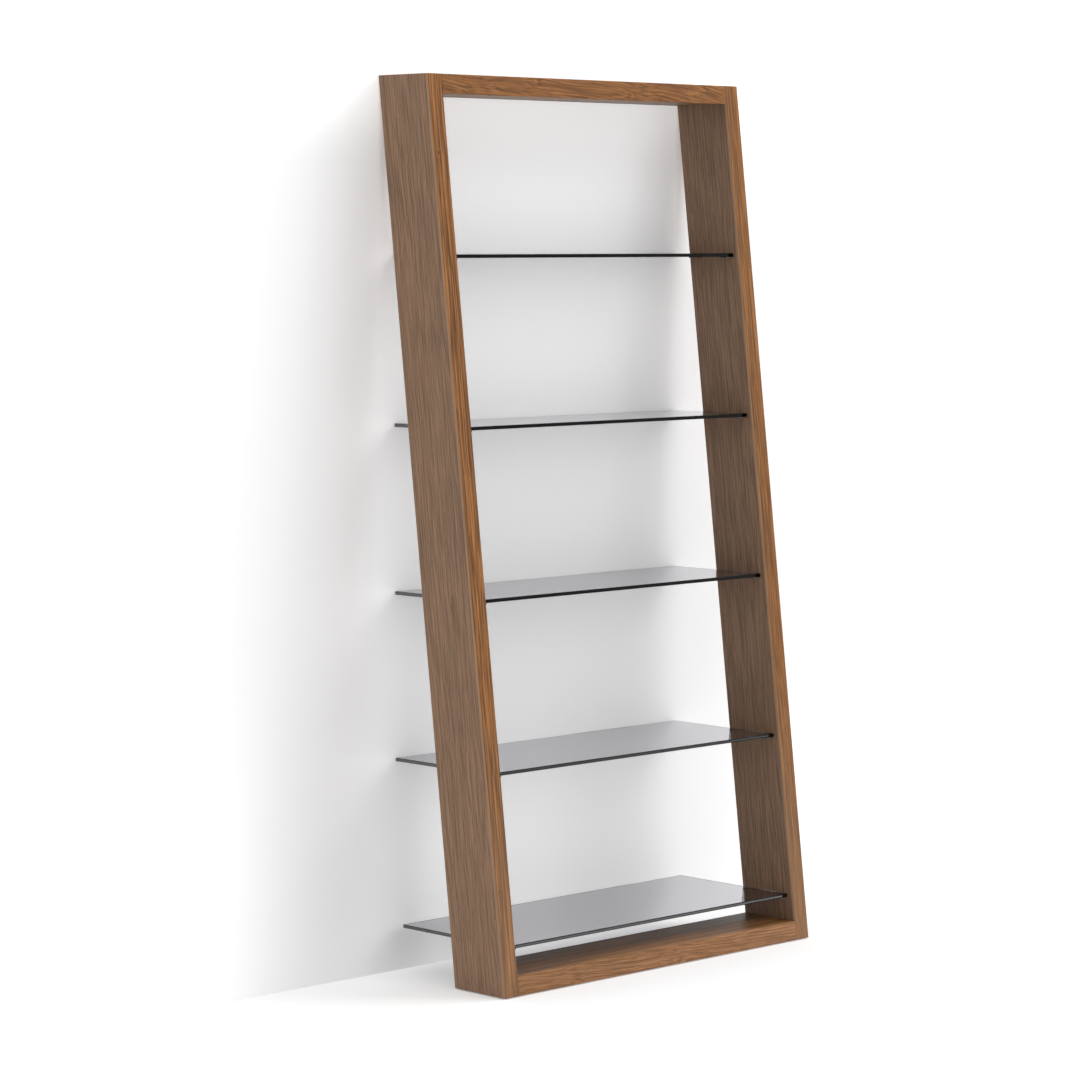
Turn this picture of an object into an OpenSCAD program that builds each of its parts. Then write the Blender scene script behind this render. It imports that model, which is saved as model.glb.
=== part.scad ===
// Leaning wall shelf: a wooden frame of two raked sides and two rails, which
// carries five glass shelves. The rear edges of the glass line up with the wall.
// Millimetres. X runs across, +Y points at the wall, +Z is up. The origin is on
// the floor, in the middle of the width and halfway between the front and the wall.

/* [Frame] */
// Height from the floor to the top of the frame
height = 2000; // [1700:1:2300]
// Width over the side panels
width = 990; // [700:1:1300]
// Depth from the foot of the frame to the wall
reach = 400; // [340:1:480]
// Depth of a side panel, measured level
panel_depth = 158; // [140:1:200]
// Thickness of the side panels
side_thickness = 43; // [38:1:56]
// Thickness of the two rails
rail_thickness = 43; // [38:1:56]
// Depth of the solid wood lipping on the front edges
lipping_depth = 6; // [3:0.5:10]
// Size of the eased edge on the front of the lippings
ease = 1.2; // [0.4:0.1:2]

/* [Glass shelves] */
// Thickness of the glass
glass = 8; // [6:0.5:12]
// Height of the lowest shelf's top face
first_shelf_height = 108; // [95:1:130]
// Height from one shelf to the next
shelf_pitch = 375; // [320:1:400]
// Distance of the glass behind the front face of the side panels
glass_inset = 17; // [8:0.5:24]
// Space at each end of the glass
glass_end_gap = 0.5; // [0.3:0.1:2]
// Space between the wall and the upper shelves
wall_gap = 1; // [0.5:0.5:5]
// Space between the wall and the lowest shelf, for a skirting board
skirting_gap = 24; // [10:1:40]
// Polished arris along the edges of the glass
arris = 0.8; // [0.3:0.1:1.5]

/* [Shelf supports] */
// How far a support's plate reaches under the glass
plate_reach = 22; // [16:1:32]
// Width of a support's plate along the panel
plate_width = 28; // [20:1:34]
// Thickness of a support's plate
plate_thickness = 2.5; // [2:0.1:4]
// Radius of the plate's free corners
plate_corner = 5; // [2:0.5:7]
// Thickness of the bonding pad between plate and glass
pad_thickness = 0.8; // [0.5:0.1:2]
// Bare rim of the plate round the bonding pad
pad_rim = 1.5; // [1:0.5:4]
// Distance of the front plate behind the front edge of the glass
plate_setback = 1; // [0:0.5:10]
// Distance of the rear plate from the rear face of the panel
plate_rear_margin = 14; // [8:1:30]
// Diameter of a support's stud
stud_d = 8; // [6:0.5:10]
// Length of a support's stud
stud_length = 30; // [20:1:34]

/* [Rail joints] */
// Diameter of the dowels
dowel_d = 8; // [6:0.5:10]
// Length of the dowels
dowel_length = 50; // [36:1:60]
// Distance between the two dowels of a joint
dowel_spacing = 26; // [18:1:32]
// Distance of the cam bolts from the panel's front and rear faces
cam_inset = 46; // [44:1:48]
// Diameter of the cam bolts
bolt_d = 6; // [5:0.5:7]
// Length of the cam bolt's thread in the side panel
bolt_thread = 16; // [10:1:24]
// Diameter of the cams
cam_d = 15; // [12:0.5:18]
// Depth of the cams' borings past the bolt's centre line
cam_past = 6; // [5:0.5:9]
// Distance of a cam's centre from the end of the rail
cam_setback = 34; // [24:1:40]

/* [Wall hangers] */
// Distance of a keyhole from the side panel
hanger_inset = 62; // [45:1:150]
// Width of a hanger plate
hanger_width = 60; // [50:1:80]
// Rim of a hanger plate above and below its cup
hanger_rim = 0.5; // [0.5:0.5:2]
// Thickness of a hanger plate
hanger_thickness = 2; // [1.5:0.1:3]
// Diameter of the keyhole's entry
keyhole_entry_d = 10; // [8:0.5:11]
// Width of the keyhole's slot
keyhole_slot = 5; // [4:0.5:6]
// Rise of the keyhole's slot above its entry
keyhole_rise = 9; // [8:0.5:10]
// Depth of the hollow for the screw head in the cup behind the plate
cup_depth = 12; // [10:1:16]
// Thickness of the cup's wall
cup_wall = 2; // [1.5:0.1:3]
// Diameter of the hanger screws
screw_d = 4; // [3:0.5:4.5]
// Length of the hanger screws
screw_length = 20; // [14:1:30]

/* [Adjustable feet] */
// Height of the wood above the floor
foot_gap = 2; // [1:0.5:4]
// Diameter of a foot's glide
glide_d = 24; // [20:1:28]
// Height of a foot's glide
glide_height = 7; // [6:0.5:10]
// Distance of the feet from the panel's front and rear faces at the floor
foot_inset = 29; // [24:1:31]
// Diameter of the foot's threaded stem
stem_d = 8; // [6:0.5:8]
// Length of the stem above the glide
stem_length = 28; // [22:1:34]
// Diameter of the threaded insert
insert_d = 13; // [12:0.5:16]
// Length of the threaded insert
insert_length = 20; // [16:1:24]

/* [Hidden] */

// Fits and small allowances
fit = 0.1;           // radial room round dowels, bolts, studs, cams, inserts and screws
turn_fit = 0.08;     // radial room round a stem in its insert
seat_gap = 0.2;      // room between a support's plate and the side panel
lift_gap = 0.3;      // room between a foot's glide and its insert when screwed home
end_room = 1;        // room at the blind end of a boring
cut = 1;             // overshoot of a cutting tool past a face
hex_sides = 6;       // sides of a hexagon
$fn = 48;

// Frame: the front face rises from the foot of the frame and leans back
frame_bottom = foot_gap;
lean_run = (reach - panel_depth) / (height - frame_bottom);
lean = atan(lean_run);
wall_y = reach / 2;
inner_x = width / 2 - side_thickness;
function front_y(z) = -reach / 2 + (z - frame_bottom) * lean_run;
function rear_y(z) = front_y(z) + panel_depth;

// Glass
shelf_numbers = [1:5];
function shelf_top(n) = first_shelf_height + (n - 1) * shelf_pitch;
function shelf_front(n) = front_y(shelf_top(n)) + glass_inset;
function shelf_rear(n) = wall_y - (n == 1 ? skirting_gap : wall_gap);

// Supports: two at each end of a shelf
function plate_top(n) = shelf_top(n) - glass - pad_thickness;
function front_plate_y(n) = shelf_front(n) + plate_setback + plate_width / 2;
function rear_plate_y(n) = rear_y(plate_top(n)) - plate_rear_margin - plate_width / 2;
neck_length = stud_d / 2;
neck_width = stud_d * 0.7;

// Rail joints: two dowels at the middle of each end, with a cam bolt on either side of them
rail_middles = [frame_bottom + rail_thickness / 2, height - rail_thickness / 2];
function dowel_ys(z) = [for (side = [-1, 1]) front_y(z) + panel_depth / 2 + side * dowel_spacing / 2];
function cam_ys(z) = [front_y(z) + cam_inset, rear_y(z) - cam_inset];
cam_height = rail_thickness / 2 + cam_past - fit;
cam_face_gap = 0.5;
bolt_neck_d = bolt_d * 0.6;
bolt_bevel = 1;
dowel_bevel = 1;
bolt_head = 3;
bolt_neck = 3;
cam_slot_depth = 3;
cam_slot_width = 2;

// Hangers: the plates sit upright in pockets in the slanted rear face of the top rail
cup_r = keyhole_entry_d / 2 + end_room + cup_wall;
hanger_height = keyhole_rise + 2 * (cup_r + hanger_rim);
hanger_middle = height - rail_thickness / 2;
pocket_y = rear_y(hanger_middle - hanger_height / 2) - hanger_thickness - seat_gap;
keyhole_z = hanger_middle - keyhole_rise / 2;
hanger_x = inner_x - hanger_inset;
hanger_screw_inset = 8;
hanger_screw_x = hanger_width / 2 - hanger_screw_inset;
countersink_d = screw_d * 1.9;

// Feet
insert_z = glide_height + lift_gap;
stem_disc_d = 14;
stem_disc = 2.4;
stem_disc_z = 1.6;
socket_af = 5;
socket_depth = 1.8;
recess_room = 1;
glide_bevel = 1;

// A board between two level distances behind the front face
module leaning_board(x, wide, near, far, low, high) {
    translate([x, 0, 0])
        rotate([90, 0, 90])
            linear_extrude(height = wide)
                polygon([
                    [front_y(low) + near, low],
                    [front_y(low) + far, low],
                    [front_y(high) + far, high],
                    [front_y(high) + near, high]
                ]);
}

// A round boring along X, starting past the face at x and running to x + deep
module cross_boring(x, y, z, d, deep) {
    translate([x, y, z])
        rotate([0, 90, 0])
            cylinder(d = d, h = deep);
}

// Places children at the four feet
module at_feet(side) {
    foot_x = side * (width / 2 - side_thickness / 2);
    for (foot_y = [front_y(frame_bottom) + foot_inset, rear_y(frame_bottom) - foot_inset])
        translate([foot_x, foot_y, 0])
            children();
}

// Side panel on the right; the left one is its mirror image
module side_panel() {
    color("#6f5a48")
        difference() {
            leaning_board(inner_x, side_thickness, lipping_depth, panel_depth, frame_bottom, height);
            for (n = shelf_numbers, y = [front_plate_y(n), rear_plate_y(n)])
                cross_boring(inner_x - cut, y, plate_top(n) - plate_thickness / 2,
                    stud_d + 2 * fit, stud_length + end_room + cut);
            for (z = rail_middles, y = dowel_ys(z))
                cross_boring(inner_x - cut, y, z, dowel_d + 2 * fit, dowel_length / 2 + end_room + cut);
            for (z = rail_middles, y = cam_ys(z))
                cross_boring(inner_x - cut, y, z, bolt_d + 2 * fit, bolt_thread + end_room + cut);
            at_feet(1) {
                translate([0, 0, frame_bottom - cut])
                    cylinder(d = glide_d + 2 * recess_room, h = insert_z - frame_bottom + cut);
                translate([0, 0, frame_bottom - cut])
                    cylinder(d = insert_d + 2 * fit, h = insert_z + insert_length - frame_bottom + cut);
                translate([0, 0, frame_bottom - cut])
                    cylinder(d = stem_d + end_room, h = glide_height + stem_length + end_room + cut);
            }
        }
}

// Lipping on the front edge of the right side panel, with its two long edges eased
module side_lipping() {
    run = height / cos(lean) + 2 * lipping_depth;
    square_depth = lipping_depth * cos(lean);
    color("#a87446")
        intersection() {
            leaning_board(inner_x, side_thickness, 0, lipping_depth, frame_bottom, height);
            translate([inner_x, front_y(frame_bottom), frame_bottom])
                rotate([-lean, 0, 0])
                    translate([0, 0, -lipping_depth])
                        linear_extrude(height = run)
                            polygon([
                                [ease, 0],
                                [side_thickness - ease, 0],
                                [side_thickness, ease],
                                [side_thickness, square_depth + cut],
                                [0, square_depth + cut],
                                [0, ease]
                            ]);
        }
}

// Rail between the side panels: low is its underside, cam_side is 1 where the cams open upwards
module rail(low, cam_side) {
    middle = low + rail_thickness / 2;
    difference() {
        leaning_board(-inner_x, 2 * inner_x, lipping_depth, panel_depth, low, low + rail_thickness);
        for (side = [0, 1])
            mirror([side, 0, 0]) {
                for (y = dowel_ys(middle))
                    cross_boring(inner_x - dowel_length / 2 - end_room, y, middle,
                        dowel_d + 2 * fit, dowel_length / 2 + end_room + cut);
                for (y = cam_ys(middle)) {
                    cross_boring(inner_x - cam_setback, y, middle, bolt_d + 4 * fit, cam_setback + cut);
                    translate([inner_x - cam_setback, y, middle])
                        mirror([0, 0, cam_side == 1 ? 0 : 1])
                            translate([0, 0, -cam_past])
                                cylinder(d = cam_d + 2 * fit, h = rail_thickness / 2 + cam_past + cut);
                }
            }
    }
}

// Rail lipping with its front edges eased
module rail_lipping(low) {
    high = low + rail_thickness;
    color("#a87446")
        translate([-inner_x, 0, 0])
            rotate([90, 0, 90])
                linear_extrude(height = 2 * inner_x)
                    polygon([
                        [front_y(low) + ease, low],
                        [front_y(low) + lipping_depth, low],
                        [front_y(high) + lipping_depth, high],
                        [front_y(high) + ease, high],
                        [front_y(high - ease), high - ease],
                        [front_y(low + ease), low + ease]
                    ]);
}

// Outline of a bar's end with all four corners cut at 45 degrees
module cut_corners(wide, tall, corner) {
    polygon([
        [corner, 0],
        [wide - corner, 0],
        [wide, corner],
        [wide, tall - corner],
        [wide - corner, tall],
        [corner, tall],
        [0, tall - corner],
        [0, corner]
    ]);
}

// One pane with polished arrises on its four long edges, top and bottom
module glass_shelf(n) {
    half = inner_x - glass_end_gap;
    deep = shelf_rear(n) - shelf_front(n);
    color("#9fa6ad")
        translate([-half, shelf_front(n), shelf_top(n) - glass])
            intersection() {
                rotate([90, 0, 90])
                    linear_extrude(height = 2 * half)
                        cut_corners(deep, glass, arris);
                translate([0, deep, 0])
                    rotate([90, 0, 0])
                        linear_extrude(height = deep)
                            cut_corners(2 * half, glass, arris);
            }
}

// Plate outline: x is the distance from the side panel, y runs along it
module plate_outline(rim) {
    wide = plate_width - 2 * rim;
    far = plate_reach - rim;
    corner = plate_corner - min(rim, plate_corner - 1);
    near = seat_gap + rim;
    translate([near, -wide / 2])
        square([far - corner - near, wide]);
    translate([near, -wide / 2 + corner])
        square([far - near, wide - 2 * corner]);
    for (side = [-1, 1])
        translate([far - corner, side * (wide / 2 - corner)])
            circle(r = corner);
}

// Places a support's pieces at the front and the rear of both ends of shelf n, at height z
module at_supports(n, z) {
    for (side = [0, 1], y = [front_plate_y(n), rear_plate_y(n)])
        mirror([side, 0, 0])
            translate([inner_x, y, z])
                mirror([1, 0, 0])
                    children();
}

// Four steel plates on studs
module shelf_supports(n) {
    color("#1c1b1a")
        at_supports(n, plate_top(n) - plate_thickness) {
            linear_extrude(height = plate_thickness)
                plate_outline(0);
            translate([-neck_length, -neck_width / 2, 0])
                cube([neck_length + 2 * seat_gap, neck_width, plate_thickness]);
            translate([0, 0, plate_thickness / 2])
                rotate([0, -90, 0])
                    cylinder(d = stud_d, h = stud_length);
        }
}

// Four pads that bond the glass to the plates
module bonding_pads(n) {
    color("#101010")
        at_supports(n, plate_top(n))
            linear_extrude(height = pad_thickness)
                plate_outline(pad_rim);
}

// Places a rail joint's pieces at both ends of the rail; x is the distance from the seam
module at_joints(ys, middle) {
    for (side = [0, 1], y = ys)
        mirror([side, 0, 0])
            translate([inner_x, y, middle])
                children();
}

// Turned bolts: a thread in the side panel, a shank in the rail, and a necked head in the cam
module cam_bolts(middle) {
    shank_end = cam_setback - bolt_neck;
    color("#b8b8b4")
        at_joints(cam_ys(middle), middle)
            rotate([0, -90, 0])
                rotate_extrude()
                    polygon([
                        [0, -bolt_thread],
                        [bolt_d / 2 - bolt_bevel, -bolt_thread],
                        [bolt_d / 2, -bolt_thread + bolt_bevel],
                        [bolt_d / 2, shank_end],
                        [bolt_neck_d / 2, shank_end],
                        [bolt_neck_d / 2, shank_end + bolt_neck],
                        [bolt_d / 2, shank_end + bolt_neck],
                        [bolt_d / 2, shank_end + bolt_neck + bolt_head - bolt_bevel],
                        [bolt_d / 2 - bolt_bevel, shank_end + bolt_neck + bolt_head],
                        [0, shank_end + bolt_neck + bolt_head]
                    ]);
}

// Cams that draw the bolts' heads inwards, each with a cross recess for the driver
module cams(middle, cam_side) {
    tall = cam_height - cam_face_gap;
    color("#c2c2be")
        at_joints(cam_ys(middle), middle)
            translate([-cam_setback, 0, 0])
                mirror([0, 0, cam_side == 1 ? 0 : 1])
                    translate([0, 0, -cam_past + fit])
                        difference() {
                            cylinder(d = cam_d, h = tall);
                            translate([-bolt_head - bolt_bevel, 0, cam_past - fit])
                                rotate([0, 90, 0])
                                    cylinder(d = bolt_d + 6 * fit, h = cam_d);
                            for (turn = [0, 90])
                                rotate([0, 0, turn + 45])
                                    translate([-cam_d * 0.3, -cam_slot_width / 2, tall - cam_slot_depth])
                                        cube([cam_d * 0.6, cam_slot_width, cam_slot_depth + cut]);
                        }
}

// Dowels with bevelled ends, half in the rail and half in the side panel
module dowels(middle) {
    half = dowel_length / 2;
    color("#d8bd92")
        at_joints(dowel_ys(middle), middle)
            rotate([0, 90, 0])
                rotate_extrude()
                    polygon([
                        [0, -half],
                        [dowel_d / 2 - dowel_bevel, -half],
                        [dowel_d / 2, -half + dowel_bevel],
                        [dowel_d / 2, half - dowel_bevel],
                        [dowel_d / 2 - dowel_bevel, half],
                        [0, half]
                    ]);
}

// Round-ended bar as tall as a screw head's way up the keyhole, from the plate towards the front
module keyhole_bar(r, deep) {
    for (z = [keyhole_z, keyhole_z + keyhole_rise])
        translate([0, 0, z])
            rotate([90, 0, 0])
                cylinder(r = r, h = deep);
    translate([-r, -deep, keyhole_z])
        cube([2 * r, deep, keyhole_rise]);
}

// Pocket for a hanger plate, the boring for the cup behind it, and the screws' borings
module hanger_pocket() {
    translate([-hanger_width / 2 - fit, pocket_y, hanger_middle - hanger_height / 2 - fit])
        cube([hanger_width + 2 * fit, reach, hanger_height + 2 * fit]);
    translate([0, pocket_y + cut, 0])
        keyhole_bar(cup_r + fit, cut + cup_depth + cup_wall + end_room);
    for (side = [-1, 1])
        translate([side * hanger_screw_x, pocket_y - screw_length, hanger_middle])
            rotate([-90, 0, 0])
                cylinder(d = screw_d + 2 * fit, h = screw_length + cut);
}

// Die-cast plate whose keyhole drops over a screw head in the wall, with a closed cup for the head
module wall_hanger(side) {
    color("#b8b8b4")
        translate([side * hanger_x, pocket_y, 0])
            difference() {
                union() {
                    translate([-hanger_width / 2, 0, hanger_middle - hanger_height / 2])
                        cube([hanger_width, hanger_thickness, hanger_height]);
                    keyhole_bar(cup_r, cup_depth + cup_wall);
                }
                keyhole_bar(cup_r - cup_wall, cup_depth);
                translate([0, -cut, keyhole_z])
                    rotate([-90, 0, 0])
                        cylinder(d = keyhole_entry_d, h = hanger_thickness + 2 * cut);
                translate([-keyhole_slot / 2, -cut, keyhole_z])
                    cube([keyhole_slot, hanger_thickness + 2 * cut, keyhole_rise]);
                translate([0, -cut, keyhole_z + keyhole_rise])
                    rotate([-90, 0, 0])
                        cylinder(d = keyhole_slot, h = hanger_thickness + 2 * cut);
                for (screw = [-1, 1])
                    translate([screw * hanger_screw_x, -cut, hanger_middle])
                        rotate([-90, 0, 0]) {
                            cylinder(d = screw_d + 2 * fit, h = hanger_thickness + 2 * cut);
                            translate([0, 0, cut + hanger_thickness / 2])
                                cylinder(d = countersink_d + 2 * fit, h = hanger_thickness);
                        }
            }
}

// Hanger screws with flat heads set into the plates
module hanger_screws() {
    head = hanger_thickness / 2 - fit;
    color("#c9c9c6")
        for (side = [-1, 1], screw = [-1, 1])
            translate([side * hanger_x + screw * hanger_screw_x, pocket_y, hanger_middle])
                rotate([-90, 0, 0])
                    rotate_extrude()
                        polygon([
                            [0, end_room - screw_length],
                            [screw_d / 2, end_room - screw_length + screw_d],
                            [screw_d / 2, hanger_thickness - head],
                            [countersink_d / 2, hanger_thickness - head],
                            [countersink_d / 2, hanger_thickness],
                            [0, hanger_thickness]
                        ]);
}

// Threaded inserts pressed up into the feet of the side panels
module foot_inserts() {
    color("#b79a5e")
        for (side = [-1, 1])
            at_feet(side)
                translate([0, 0, insert_z])
                    difference() {
                        cylinder(d = insert_d, h = insert_length);
                        translate([0, 0, -cut])
                            cylinder(d = stem_d + 2 * turn_fit, h = insert_length + 2 * cut);
                    }
}

// Places children at one foot: side is -1 or 1, row is 0 at the front and 1 at the rear
module at_foot(side, row) {
    foot_ys = [front_y(frame_bottom) + foot_inset, rear_y(frame_bottom) - foot_inset];
    translate([side * (width / 2 - side_thickness / 2), foot_ys[row], 0])
        children();
}

// Glide: a nylon foot turned in one profile, hollow where it holds the stem's disc
module glide(side, row) {
    color("#2b2a29")
        at_foot(side, row)
            rotate_extrude()
                polygon([
                    [socket_af / 2 + end_room, 0],
                    [glide_d / 2 - glide_bevel, 0],
                    [glide_d / 2, glide_bevel],
                    [glide_d / 2, glide_height - glide_bevel],
                    [glide_d / 2 - glide_bevel, glide_height],
                    [stem_d / 2 + lift_gap, glide_height],
                    [stem_d / 2 + lift_gap, stem_disc_z + stem_disc + seat_gap],
                    [stem_disc_d / 2 + lift_gap, stem_disc_z + stem_disc + seat_gap],
                    [stem_disc_d / 2 + lift_gap, stem_disc_z - seat_gap],
                    [socket_af / 2 + end_room, stem_disc_z - seat_gap]
                ]);
}

// Stem: a threaded rod on a disc, with a hexagon socket that is reached through the glide
module stem(side, row) {
    color("#a9a9a6")
        at_foot(side, row)
            difference() {
                union() {
                    translate([0, 0, stem_disc_z])
                        cylinder(d = stem_disc_d, h = stem_disc);
                    translate([0, 0, stem_disc_z])
                        cylinder(d = stem_d, h = glide_height + stem_length - stem_disc_z);
                }
                translate([0, 0, stem_disc_z - cut])
                    cylinder(d = socket_af / cos(180 / hex_sides), h = socket_depth + cut, $fn = hex_sides);
            }
}

module left_side_panel() { mirror([1, 0, 0]) side_panel(); }
module right_side_panel() { side_panel(); }
module left_side_lipping() { mirror([1, 0, 0]) side_lipping(); }
module right_side_lipping() { side_lipping(); }

module top_rail() {
    color("#6f5a48")
        difference() {
            rail(height - rail_thickness, 1);
            for (side = [-1, 1])
                translate([side * hanger_x, 0, 0])
                    hanger_pocket();
        }
}

module bottom_rail() {
    color("#6f5a48")
        rail(frame_bottom, 0);
}

left_side_panel();
right_side_panel();
top_rail();
bottom_rail();
left_side_lipping();
right_side_lipping();
rail_lipping(height - rail_thickness);  // top_rail_lipping
rail_lipping(frame_bottom);  // bottom_rail_lipping
glass_shelf(1);  // glass_shelf_1
glass_shelf(2);  // glass_shelf_2
glass_shelf(3);  // glass_shelf_3
glass_shelf(4);  // glass_shelf_4
glass_shelf(5);  // glass_shelf_5
shelf_supports(1);  // shelf_supports_1
shelf_supports(2);  // shelf_supports_2
shelf_supports(3);  // shelf_supports_3
shelf_supports(4);  // shelf_supports_4
shelf_supports(5);  // shelf_supports_5
bonding_pads(1);  // bonding_pads_1
bonding_pads(2);  // bonding_pads_2
bonding_pads(3);  // bonding_pads_3
bonding_pads(4);  // bonding_pads_4
bonding_pads(5);  // bonding_pads_5
cam_bolts(rail_middles[1]);  // top_rail_cam_bolts
cam_bolts(rail_middles[0]);  // bottom_rail_cam_bolts
cams(rail_middles[1], 1);  // top_rail_cams
cams(rail_middles[0], 0);  // bottom_rail_cams
dowels(rail_middles[1]);  // top_rail_dowels
dowels(rail_middles[0]);  // bottom_rail_dowels
wall_hanger(-1);  // left_wall_hanger
wall_hanger(1);  // right_wall_hanger
hanger_screws();
foot_inserts();
glide(-1, 0);  // front_left_glide
glide(1, 0);  // front_right_glide
glide(-1, 1);  // rear_left_glide
glide(1, 1);  // rear_right_glide
stem(-1, 0);  // front_left_stem
stem(1, 0);  // front_right_stem
stem(-1, 1);  // rear_left_stem
stem(1, 1);  // rear_right_stem
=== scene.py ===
# %% [markdown]
# # A leaning shelf of walnut and grey glass
# The real object is a tall wooden frame that leans back on a wall and carries five glass
# shelves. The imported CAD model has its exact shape, so nothing is modelled twice here. What the
# CAD can't give is the finish: veneer and solid walnut, tinted glass with polished edges, powder
# coat and small metal fittings. Each finish is worked out from the surface's own coordinates, so
# it stays in place from every side and can be baked.

# %% Load the frame
import math

import bpy
import numpy as np
from mathutils import Euler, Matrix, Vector

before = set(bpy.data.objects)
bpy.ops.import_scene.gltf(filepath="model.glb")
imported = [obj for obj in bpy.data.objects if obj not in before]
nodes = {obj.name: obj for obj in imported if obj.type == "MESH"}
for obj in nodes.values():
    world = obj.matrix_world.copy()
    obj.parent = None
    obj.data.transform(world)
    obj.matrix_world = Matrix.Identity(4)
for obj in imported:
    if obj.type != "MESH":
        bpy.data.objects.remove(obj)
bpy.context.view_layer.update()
scene = bpy.context.scene
print("CAD nodes:", len(nodes))

# %% [markdown]
# ## The camera
# The photo was taken from the left at about eye level with a long lens, so the uprights hardly
# converge. The place and the lens were fitted to the measured corners of the frame. The camera
# looks a few degrees down and has no shift, so other views can move it and still frame the whole
# object.

# %% Camera at the photo's viewing angle
CAMERA_AT = (-5.79885, -5.75278, 1.64103)
HEADING = math.radians(45.74776)  # from +X towards +Y
LOOKS_DOWN = math.radians(4.77963)
LENS_MM = 119.922
SENSOR_MM = 36.0
SEES_UP_TO = 60.0

camera_data = bpy.data.cameras.new("photo_camera")
camera_data.lens = LENS_MM
camera_data.sensor_width = SENSOR_MM
camera_data.clip_end = SEES_UP_TO
camera = bpy.data.objects.new("photo_camera", camera_data)
scene.collection.objects.link(camera)
camera.location = CAMERA_AT
camera.rotation_euler = Euler((math.pi / 2 - LOOKS_DOWN, 0.0, HEADING - math.pi / 2))
scene.camera = camera
print("camera", round(math.degrees(HEADING), 2), "deg from +X, lens", LENS_MM, "mm")

# %% [markdown]
# ## Wiring nodes with few words
# A shader tree is a set of small sums. Writing each node by hand takes five lines, which hides
# the idea. These helpers add one node each and return the socket that carries its result, so a
# formula reads from the inside out, as in ordinary code.


# %% Helpers that add one node
def fill(tree, sockets, inputs):
    """Each socket gets a plain value, or a link where the value is another node's output."""
    for key, value in inputs.items():
        if isinstance(value, bpy.types.NodeSocket):
            tree.links.new(value, sockets[key])
        else:
            sockets[key].default_value = value


def put(tree, kind, inputs=None, out=0, **settings):
    """Adds one node. inputs maps a socket's name or number to what it gets."""
    node = tree.nodes.new(kind)
    for name, value in settings.items():
        setattr(node, name, value)
    fill(tree, node.inputs, inputs or {})
    return node.outputs[out]


def maths(tree, operation, *values, clamp=False):
    """One Math node: power, fract, maximum and so on, over numbers or sockets."""
    return put(tree, "ShaderNodeMath", dict(enumerate(values)),
               operation=operation, use_clamp=clamp)


def vector_maths(tree, operation, a, b=None, scale=None, out="Vector"):
    """One Vector Math node. Length comes out of the socket Value."""
    inputs = {0: a}
    if b is not None:
        inputs[1] = b
    if scale is not None:
        inputs["Scale"] = scale
    return put(tree, "ShaderNodeVectorMath", inputs, out, operation=operation)


def noise(tree, place, scale=1.0, detail=1.0, out=0, **more):
    """Soft random values round 0.5. They change about as many times per metre as scale says."""
    return put(tree, "ShaderNodeTexNoise",
               {"Vector": place, "Scale": scale, "Detail": detail, **more}, out)


def part_of(tree, vector, axis):
    """The X, Y or Z of a vector."""
    return put(tree, "ShaderNodeSeparateXYZ", {0: vector}, axis)


def place_on_object(tree):
    """Where each point of the surface is, in metres in the CAD model's own frame."""
    return put(tree, "ShaderNodeTexCoord", out="Object")


print("helpers:", ", ".join(f.__name__ for f in (put, maths, vector_maths, noise, part_of)))

# %% [markdown]
# ## Sums, blends and ramps
# A few sums come again and again: several things added or multiplied, two colours blended, and
# a value that rises from one level to another. Naming them keeps the recipes further down short.
# The Mix node has sockets for every kind of data at once: 6 and 7 are its colours and output 2
# the blended one. A Map Range node is the ramp, straight or with soft ends.


# %% Helpers for sums and colours
def add(tree, first, *others):
    """first + each of the others, one Math node for each plus sign."""
    for other in others:
        first = maths(tree, "ADD", first, other)
    return first


def times(tree, first, *others):
    """first x each of the others."""
    for other in others:
        first = maths(tree, "MULTIPLY", first, other)
    return first


def less(tree, a, b):
    """a - b."""
    return maths(tree, "SUBTRACT", a, b)


def ramp(tree, value, start, end, low=0.0, high=1.0, smooth=True):
    """low up to start, high from end on, and a smooth or straight line between them."""
    return put(tree, "ShaderNodeMapRange",
               {"Value": value, "From Min": start, "From Max": end, "To Min": low, "To Max": high},
               interpolation_type="SMOOTHSTEP" if smooth else "LINEAR")


def colour_mix(tree, factor, a, b):
    """Colour a where the factor is 0, b where it is 1, and a blend between."""
    return put(tree, "ShaderNodeMix", {0: factor, 6: a, 7: b}, 2, data_type="RGBA")


def srgb(red, green, blue):
    """A colour read off as 0 to 255, turned into the linear light that shaders work with:
    c / 12.92 in the darkest tones, ((c + 0.055) / 1.055) to the power 2.4 above them."""
    c = np.array([red, green, blue]) / 255.0
    c = np.where(c <= 0.04045, c / 12.92, ((c + 0.055) / 1.055) ** 2.4)
    return (*c.tolist(), 1.0)


def grey(level):
    """A neutral colour in linear light."""
    return (level, level, level, 1.0)


print("lipping brown in linear light:", [round(v, 3) for v in srgb(142, 99, 63)[:3]])

# %% [markdown]
# ## Patterns as groups
# A pattern that several pieces share is built once, as a node group with named inputs and
# outputs, and placed in each material with its own values. An input's default says of which
# kind it is: a number, a vector of three or a colour of four.

# %% Helpers for node groups
ORIGIN = (0.0, 0.0, 0.0)
SOCKET_KINDS = {3: "Vector", 4: "Color"}


def new_group(name, inputs, outputs):
    """A node group. inputs maps a name to its default and outputs a name to its kind."""
    tree = bpy.data.node_groups.new(name, "ShaderNodeTree")
    for label, default in inputs.items():
        kind = "Float" if isinstance(default, float) else SOCKET_KINDS[len(default)]
        socket = tree.interface.new_socket(
            name=label, in_out="INPUT", socket_type="NodeSocket" + kind)
        socket.default_value = default
    for label, kind in outputs.items():
        tree.interface.new_socket(
            name=label, in_out="OUTPUT", socket_type="NodeSocket" + kind)
    source = tree.nodes.new("NodeGroupInput")
    sink = tree.nodes.new("NodeGroupOutput")
    return tree, source.outputs, sink.inputs


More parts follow.
